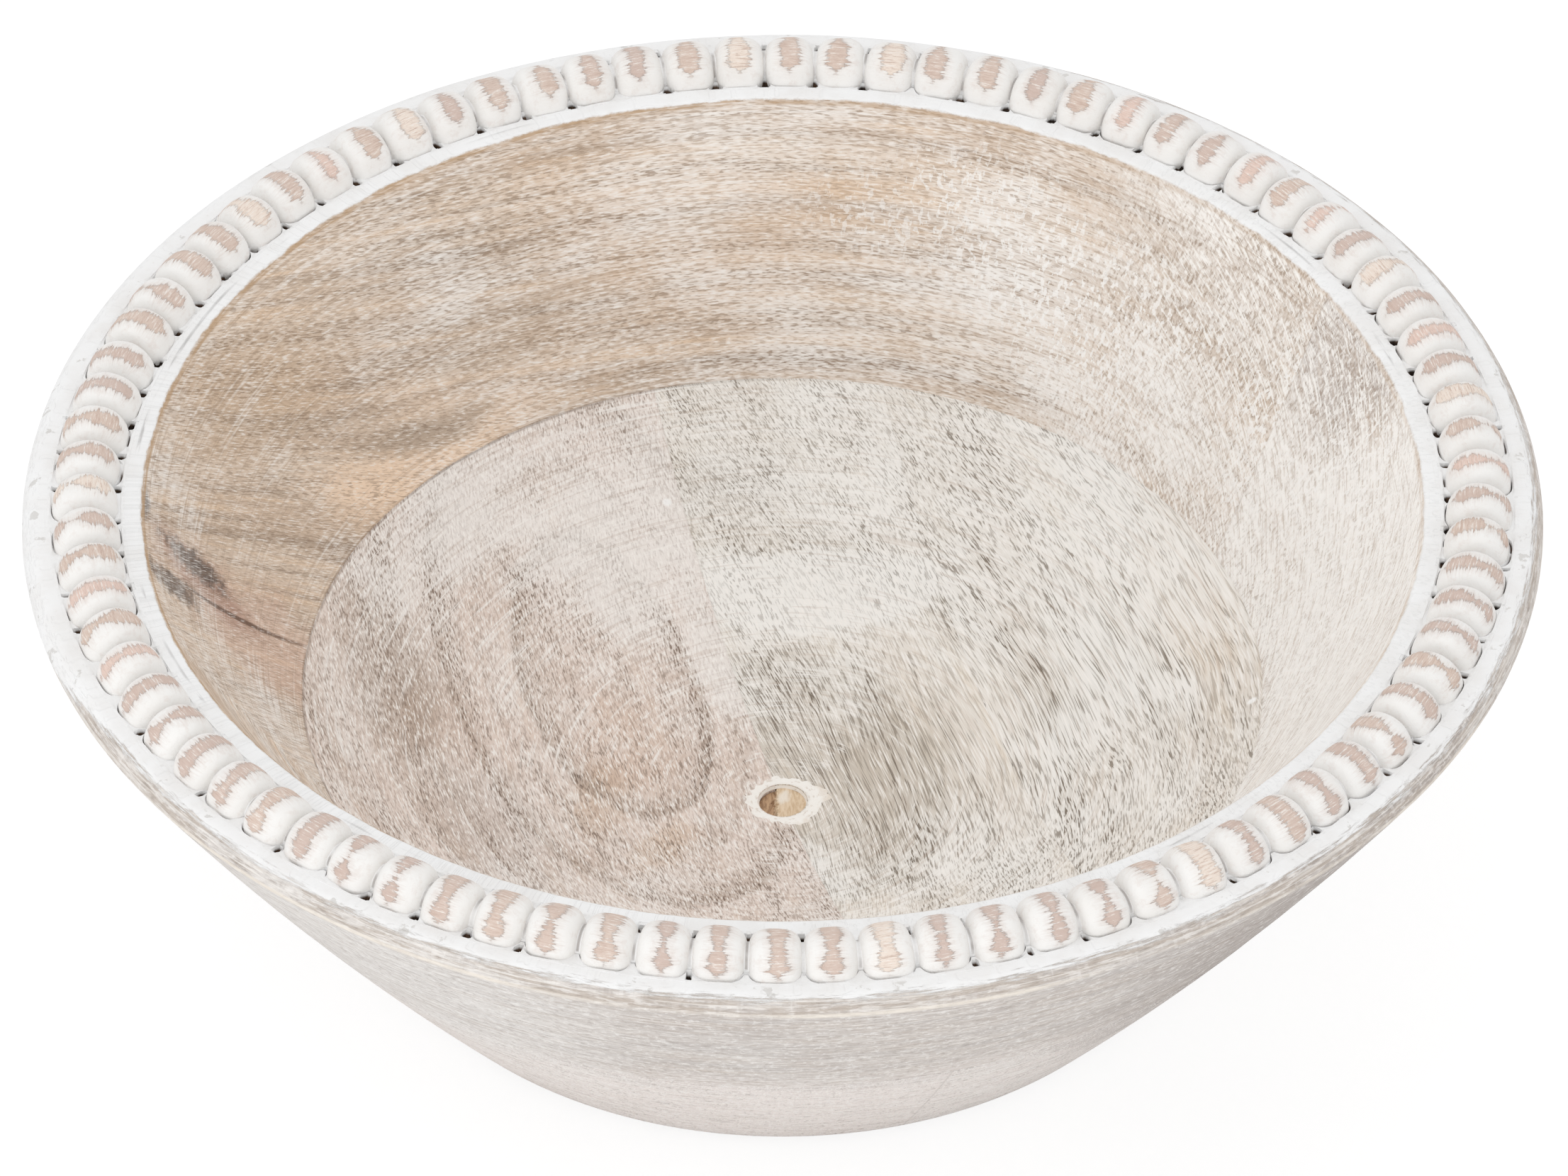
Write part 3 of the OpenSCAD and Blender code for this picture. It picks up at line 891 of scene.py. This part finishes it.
def makeBead():
    # a drilled barrel bead, spun from its profile and laid with its bore along the rim
    radius, half, bore, power = beadLook["radius"], beadLook["halfLength"], beadLook["bore"], beadLook["barrel"]
    rings, boreEnd = beadLook["rings"], half * beadLook["boreEnd"]
    points = [Vector((bore, z)) for z in (boreEnd, 0.0, -boreEnd)]
    for step in range(-rings, rings + 1):
        z = half * math.sin(step / rings * math.radians(beadLook["lastRing"]))
        points.append(Vector((radius * (1 - abs(z / half) ** power) ** (1 / power), z)))
    bead = spinProfile("bead", points, beadLook["segments"])
    editAll()
    bpy.ops.transform.rotate(value=math.radians(90), orient_axis="X", center_override=(0, 0, 0))
    leaveEdit()
    return bead


dice = random.Random(41)
beadPaint = makeBeadPaint()
bead = makeBead()
lumps = cloudTexture("beadLumps", beadLook["lumpSize"])
spread, shift, tip = beadLook["sizeSpread"], beadLook["shift"], math.radians(beadLook["tilt"])
for pair in range(beadLook["count"] // 2):
    both = []
    for number in (2 * pair, 2 * pair + 1):
        twin = copyPiece(bead, f"beadTwin{number:02d}")
        size = Matrix.Diagonal((1 + dice.uniform(-spread, spread), 1 + dice.uniform(-0.5, 0.2) * spread,
                                1 + dice.uniform(-spread, 0.4 * spread), 1.0))
        tilt = (Matrix.Rotation(dice.uniform(-tip, tip), 4, "X") @ Matrix.Rotation(dice.uniform(-tip, tip), 4, "Z")
                @ Matrix.Rotation(dice.uniform(0, math.tau), 4, "Y"))
        seat = Matrix.Translation(Vector((bowl["ringRadius"] + dice.uniform(-shift, shift), 0.0,
                                          bowl["beadHeight"] + dice.uniform(-1.4, 0.4) * shift)) * mm)
        twin.matrix_world = Matrix.Rotation(firstBead + number * beadStep, 4, "Z") @ seat @ size @ tilt
        both.append(twin)
    pickOnly(both[0])
    both[1].select_set(True)
    bpy.ops.object.transform_apply(location=True, rotation=True, scale=True)
    bpy.ops.object.join()
    piece = nameNew(f"beadPair{pair + 1:02d}")
    roughen(piece, lumps, beadLook["lump"], 0.6)
    smoothShade(piece, 40)
    settle(piece, beadPaint, "bead_wood", f"beads_{pair + 1:02d}")
bpy.data.objects.remove(bead)
print("beads made")


# Filler and paint between the beads and the groove

fillLook = {
    "columns": (-5.35, -4.6, -4.0, -3.4, -2.8, -2.3, -1.9, -1.6, -1.3, -1.05, -0.8, -0.6, -0.4, -0.2, 0.0,
                0.2, 0.4, 0.6, 0.8, 1.05, 1.3, 1.6, 1.9, 2.3, 2.8, 3.4, 4.0, 4.6),
    "halfPitch": 5.333, "fullPitch": 10.7, "leastOutline": 4.2, "byBead": (-0.45, -0.06, 0.12, 0.26),
    "between": (0.4, 0.75), "leastInner": 5.0, "onLand": (0.1, 0.7),
    "level": 95.62, "rise": (0.0, 0.0, 0.0, 0.0, 0.0, 0.1, 0.36, 0.40), "wave": 0.25, "thickness": 0.5,
    "waveSize": 0.004, "cracksPerBead": 4, "crackDepth": 0.9, "crackFrom": 0.42, "crackSpan": 0.2,
    "outerPits": 0.62, "innerPits": 0.8, "innerGrow": 1.5, "pitShift": (-0.3, 0.3), "pitCentre": (5.65, 6.25),
    "pitLong": (0.4, 0.85), "pitWide": (0.55, 1.05), "pitDepth": 3.0, "pitEdge": 1.25, "pitSlope": 0.5,
    "valleyRadius": 3.7, "valleyWave": 0.5, "valleySize": 0.007, "valleyCut": 94.2, "valleyThickness": 0.8,
}


def makeFillPaint():
    # the same chalky paint, with bare brown wood and painted shade down in the pits and cracks, and a grey line of
    # painted shade in the crease between two beads
    material, shader = startMaterial("fillPaint")
    at = placeOn(shader)
    place, height = at["Place"], at["Height"]
    paint = chalkOn(at)
    # bare wood darkened further by painted shade, laid on by height down in the pits and cracks
    pitWoodAndShade = mixColour(remap(noiseOf(place, 0.5, 2.0, 0.55), 0.4, 0.6), tint(52, 42, 36), tint(96, 74, 58))
    fromCrease = times(calc("ABSOLUTE", minus(calc("FRACT", beadTurns(at, 0.0)), 0.5)), beadStep * bowl["ringRadius"])
    # painted shade: a grey line in the valley where two beads meet
    creaseShade = times(remap(fromCrease, 0.45, 0.10), remap(height, 95.9, 96.4),
                   remap(noiseOf(place, 0.16, 2.0, 0.55), 0.38, 0.62, 0.15, 0.75))
    colour = coats(paint["Colour"], (creaseShade, tint(150, 143, 138)), (remap(height, 95.25, 94.6), pitWoodAndShade))
    finishMaterial(shader, colour, 0.78, 0.2, paint["Relief"], 0.5)
    return material


def toUnit(value):
    return max(0.0, min(1.0, value))


def makeFillStrip(name, side, pitChance, draw):
    # a strip along the groove's edge: it laps on the land, meets every bead and has pits at some of the joints
    columns, byBead, onLand = fillLook["columns"], fillLook["byBead"], fillLook["onLand"]
    beadCount, power = beadLook["count"], beadLook["barrel"]
    total, lastRow = beadCount * len(columns), len(fillLook["rise"]) - 1
    deselectAll()
    bpy.ops.mesh.primitive_grid_add(x_subdivisions=total, y_subdivisions=lastRow, size=1.0)
    strip = nameNew(name)
    grow = 1.0 if side > 0 else fillLook["innerGrow"]
    pits = [(draw.random() < pitChance, draw.uniform(*fillLook["pitShift"]), draw.uniform(*fillLook["pitCentre"]),
             draw.uniform(*fillLook["pitLong"]) * grow, draw.uniform(*fillLook["pitWide"]) * grow)
            for joint in range(beadCount)]
    perBead = fillLook["cracksPerBead"]
    cracks = [draw.random() for crack in range(beadCount * perBead)]
    ring, wall = bowl["ringRadius"], bowl["grooveRadius"]
    for vertex in strip.data.vertices:
        column = round((vertex.co.x + 0.5) * total)
        row = round((vertex.co.y + 0.5) * lastRow)
        joint, part = divmod(column, len(columns))
        joint = joint % beadCount
        offset = columns[part]
        share = min(1.0, abs(fillLook["halfPitch"] - abs(offset)) / beadLook["halfLength"])
        outline = max(beadLook["radius"] * (1 - share ** power) ** (1 / power), fillLook["leastOutline"])
        if row < 4:
            distance = outline + byBead[row]
        elif row < 6:
            inner = max(outline + byBead[3], fillLook["leastInner"])
            distance = inner + (wall + onLand[0] - inner) * fillLook["between"][row - 4]
        else:
            distance = wall + onLand[row - 6]
        height = fillLook["level"] + fillLook["rise"][row]
        if row in (1, 2):
            place = (joint + 0.5 + offset / fillLook["fullPitch"]) * perBead
            low = int(place) % len(cracks)
            gape = cracks[low] * (1 - place % 1) + cracks[(low + 1) % len(cracks)] * (place % 1)
            height -= fillLook["crackDepth"] * toUnit((gape - fillLook["crackFrom"]) / fillLook["crackSpan"])
        pitted, shift, centre, long, wide = pits[joint]
        if pitted and row < lastRow:
            away = math.hypot((offset - shift) / long, (distance - centre) / wide)
            sink = toUnit((fillLook["pitEdge"] - away) / fillLook["pitSlope"])
            height -= fillLook["pitDepth"] * sink * sink * (3 - 2 * sink)
        angle = firstBead + (joint + 0.5) * beadStep + offset / ring
        radius = ring + side * distance
        vertex.co = Vector((radius * math.cos(angle), radius * math.sin(angle), height)) * mm
    editAll()
    bpy.ops.mesh.remove_doubles(threshold=0.01 * mm)
    faceUp(strip)
    roughen(strip, cloudTexture(name + "Wave", fillLook["waveSize"]), fillLook["wave"])
    thicken(strip, fillLook["thickness"])
    smoothShade(strip, 60)
    return strip


def makeValleyFill():
    # paint that runs down between the beads, over the cord line
    deselectAll()
    bpy.ops.mesh.primitive_torus_add(major_radius=bowl["ringRadius"] * mm, minor_radius=fillLook["valleyRadius"] * mm,
                                     major_segments=410, minor_segments=28, location=(0, 0, 0))
    fill = nameNew("valleyFill")
    editAll()
    bpy.ops.transform.translate(value=(0, 0, bowl["beadHeight"] * mm))
    bpy.ops.mesh.bisect(plane_co=(0, 0, fillLook["valleyCut"] * mm), plane_no=(0, 0, -1), use_fill=False,
                        clear_outer=True)
    leaveEdit()
    roughen(fill, cloudTexture("valleyWave", fillLook["valleySize"]), fillLook["valleyWave"], 0.55)
    thicken(fill, fillLook["valleyThickness"])
    smoothShade(fill, 60)
    return fill


draw = random.Random(19)
fillPaint = makeFillPaint()
outerFill = makeFillStrip("outerFill", 1, fillLook["outerPits"], draw)
innerFill = makeFillStrip("innerFill", -1, fillLook["innerPits"], draw)
valleyFill = makeValleyFill()
for piece in (outerFill, innerFill, valleyFill):
    settle(piece, fillPaint, "bead_wood")
print("filler made")


# Plug in the lathe hole, and the filler smeared round it

plugLook = {
    "radius": 4.9, "bottom": 0.5, "top": 13.2, "sides": 72, "rings": 7, "firstInset": 0.25, "inset": 0.66,
    "drop": 0.75, "split": -1.5, "wobble": 0.35, "wobbles": 12, "wave": 0.35, "waveSize": 0.002,
}


def makePlugWood():
    material, shader = startMaterial("plugWood")
    at = placeOn(shader)
    place = at["Place"]
    x, y, z = separate(place)
    ragged = noiseOf(place, 0.9, 3.0)
    grainLine = noiseOf(combine(times(x, 2.2), times(y, 0.5), z), 1.0, 3.0)
    pale = mixColour(remap(grainLine, 0.38, 0.66), tint(228, 207, 180), tint(208, 182, 150))
    dark = mixColour(remap(grainLine, 0.38, 0.62), tint(194, 161, 129), tint(158, 126, 98))
    toLeft = remap(timesPlus(minus(ragged, 0.5), 2.5, x), -1.1, -1.9)
    blob = useGroup(softSpot, Place=place, Centre=(0.3, 2.2, 13.0), Turn=1.2, Length=2.9, Width=1.7, Ragged=1.2,
                    Grit=0.9)["Mask"]
    colour = coats(pale, (toLeft, dark), (times(blob, 0.85), tint(240, 232, 220)))
    finishMaterial(shader, colour, timesPlus(ragged, 0.2, 0.65), 0.25, plus(grainLine, ragged), 0.6, 0.3)
    return material


def makePlug():
    deselectAll()
    top, bottom = plugLook["top"] * mm, plugLook["bottom"] * mm
    bpy.ops.mesh.primitive_cylinder_add(vertices=plugLook["sides"], radius=plugLook["radius"] * mm, depth=top - bottom)
    plug = nameNew("centrePlug")
    editAll()
    bpy.ops.transform.translate(value=(0, 0, (top + bottom) / 2))
    bpy.ops.mesh.select_all(action="DESELECT")
    leaveEdit()
    for face in plug.data.polygons:
        face.select = face.normal.z > 0.9
    bpy.ops.object.mode_set(mode="EDIT")
    bpy.ops.mesh.select_mode(type="FACE")
    for ring in range(plugLook["rings"]):
        bpy.ops.mesh.inset(thickness=plugLook["inset" if ring else "firstInset"] * mm)
    bpy.ops.mesh.poke()
    leaveEdit()
    # the left of the top has split off a little lower, along an uneven line
    topGroup = plug.vertex_groups.new(name="top")
    draw = random.Random(5)
    wobble = [draw.uniform(-plugLook["wobble"], plugLook["wobble"]) for step in range(plugLook["wobbles"])]
    for vertex in plug.data.vertices:
        if vertex.co.z < top - 0.01 * mm:
            continue
        topGroup.add([vertex.index], 1.0, "REPLACE")
        edge = plugLook["split"] + wobble[int(vertex.co.y / mm + len(wobble) / 2) % len(wobble)]
        if vertex.co.x < edge * mm:
            vertex.co.z -= plugLook["drop"] * mm
    roughen(plug, cloudTexture("plugWave", plugLook["waveSize"]), plugLook["wave"], direction="Z",
            vertex_group="top")
    smoothShade(plug, 40)
    return plug


smearLook = {
    "sides": 120, "inner": 4.75, "grow": (1.07, 1.16, 1.17, 1.17), "featherFrom": 5.1, "featherWidth": 2.7,
    "ragged": 1.2, "pull": 0.4, "drags": ((1.2, -0.5, 2), (2.6, 0.35, 14)), "crest": 0.22, "lift": 0.02, "edge": 0.06,
    "wave": 0.18, "waveSize": 0.0025, "thickness": 0.5,
}


def makePlugRing():
    # filler round the plug, feathered out on the floor and dragged to the right
    deselectAll()
    sides = smearLook["sides"]
    bpy.ops.mesh.primitive_circle_add(vertices=sides, radius=smearLook["inner"] * mm, fill_type="NOTHING")
    ring = nameNew("plugFiller")
    bpy.ops.object.mode_set(mode="EDIT")
    bpy.ops.mesh.select_mode(type="EDGE")
    bpy.ops.mesh.select_all(action="SELECT")
    for grow in smearLook["grow"]:
        bpy.ops.mesh.extrude_region_move()
        bpy.ops.transform.resize(value=(grow, grow, 1.0), center_override=(0, 0, 0))
    leaveEdit()
    draw = random.Random(23)
    ragged = [draw.uniform(-1.0, 1.0) for side in range(sides)]
    for vertex in ring.data.vertices:
        angle = math.atan2(vertex.co.y, vertex.co.x)
        radius = vertex.co.xy.length / mm
        inHole = radius < plugLook["radius"]
        share = max(0.0, (radius - smearLook["featherFrom"]) / smearLook["featherWidth"])
        side = int(round(angle / math.tau * sides)) % sides
        near = (ragged[side] + ragged[side - 1] + ragged[(side + 1) % sides]) / 3
        drag = sum(far * max(0.0, math.cos(angle - toward)) ** power for far, toward, power in smearLook["drags"])
        radius += share * (near * smearLook["ragged"] + drag - smearLook["pull"])
        height = plugLook["top"]
        if not inHole:
            height = bowl["floorThickness"] + radius * radius / (2 * ballRadius) + smearLook["lift"]
            height += smearLook["crest"] * (1 - share) - smearLook["edge"] * share
        vertex.co = Vector((radius * math.cos(angle), radius * math.sin(angle), height)) * mm
    faceUp(ring)
    applyModifier(ring, "SUBSURF", levels=1, render_levels=1)
    roughen(ring, cloudTexture("smearWave", smearLook["waveSize"]), smearLook["wave"], direction="Z")
    thicken(ring, smearLook["thickness"])
    smoothShade(ring, 60)
    return ring


def makeSmear():
    material, shader = startMaterial("plugSmear")
    at = placeOn(shader)
    paint = chalkOn(at)
    lines = useGroup(turningLines, Around=at["Around"], Run=at["Run"])
    thin = remap(timesPlus(noiseOf(at["Place"], 0.6, 3.0), 5.0, at["Radius"]), 9.6, 12.4)
    colour = coats(paint["Colour"], (0.55, tint(251, 246, 237)), (times(thin, 0.55), tint(218, 202, 184)),
                   (remap(lines["Fine"], 0.55, 0.70, 0.0, 0.4), tint(196, 178, 160)))
    finishMaterial(shader, colour, 0.8, 0.2, paint["Relief"], 0.5)
    return material


centrePlug = makePlug()
settle(centrePlug, makePlugWood(), "plug_wood", "centre_plug")
plugFiller = makePlugRing()
settle(plugFiller, makeSmear(), "plug_wood")
print("plug made")


# Floor, light and camera

studio = {
    "elevation": 39.8, "distance": 2.410, "lens": 276.8, "shift": (0.0009, -0.061), "aim": (0.0, 0.0, 0.096),
    "floorSize": 8.0, "floorLevel": -0.0002, "floorGrey": 0.9, "floorGlow": 1.12, "glowShare": 0.72,
    "worldLevel": 0.88, "lampAim": (0.0, 0.0, 0.05), "lamps": [
        ("softbox", (2.2, 2.2), 6.0, (-0.3, -0.1, 1.9)),
        ("frontFill", (3.0, 0.5), 8.0, (-0.6, -1.7, 0.28)),
    ],
}
deselectAll()
bpy.ops.mesh.primitive_plane_add(size=studio["floorSize"], location=(0.0, 0.0, studio["floorLevel"]))
studioFloor = nameNew("studioFloor")
floorPaint, shader = startMaterial("floorPaint")
tree = floorPaint.node_tree
grey = studio["floorGrey"]
feed(shader.inputs["Base Color"], (grey, grey, grey, 1.0))
feed(shader.inputs["Roughness"], 0.9)
feed(shader.inputs["Specular IOR Level"], 0.0)
glow = addNode(tree, "ShaderNodeEmission")
feed(glow.inputs["Strength"], studio["floorGlow"])
rays = addNode(tree, "ShaderNodeLightPath").outputs
seen = calc("MAXIMUM", rays["Is Camera Ray"], calc("MAXIMUM", rays["Is Glossy Ray"], rays["Is Transmission Ray"]))
blend = addFed("ShaderNodeMixShader", times(seen, studio["glowShare"]), shader.outputs[0], glow.outputs[0])
feed(tree.nodes["Material Output"].inputs["Surface"], blend.outputs[0])
studioFloor.data.materials.append(floorPaint)

world = bpy.data.worlds.new("softRoom")
world.use_nodes = True
scene.world = world
background = world.node_tree.nodes["Background"]
rays = addNode(world.node_tree, "ShaderNodeLightPath").outputs
level = studio["worldLevel"]
feed(background.inputs["Strength"], timesPlus(rays["Is Camera Ray"], 1.0 - level, level))
feed(background.inputs["Color"], (1.0, 1.0, 1.0, 1.0))

for name, size, power, spot in studio["lamps"]:
    lamp = bpy.data.lights.new(name, "AREA")
    lamp.shape = "RECTANGLE"
    lamp.size, lamp.size_y = size
    lamp.energy = power
    lampObject = bpy.data.objects.new(name, lamp)
    scene.collection.objects.link(lampObject)
    lampObject.location = spot
    lampObject.rotation_euler = (Vector(studio["lampAim"]) - Vector(spot)).to_track_quat("-Z", "Y").to_euler()

camera = bpy.data.objects.new("camera", bpy.data.cameras.new("camera"))
scene.collection.objects.link(camera)
rise = math.radians(studio["elevation"])
camera.location = Vector(studio["aim"]) + Vector((0.0, -math.cos(rise), math.sin(rise))) * studio["distance"]
camera.rotation_euler = (math.radians(90) - rise, 0.0, 0.0)
camera.data.sensor_width = 36.0
camera.data.lens = studio["lens"]
camera.data.shift_x, camera.data.shift_y = studio["shift"]
camera.data.clip_end = 30.0
scene.camera = camera
print("studio made")
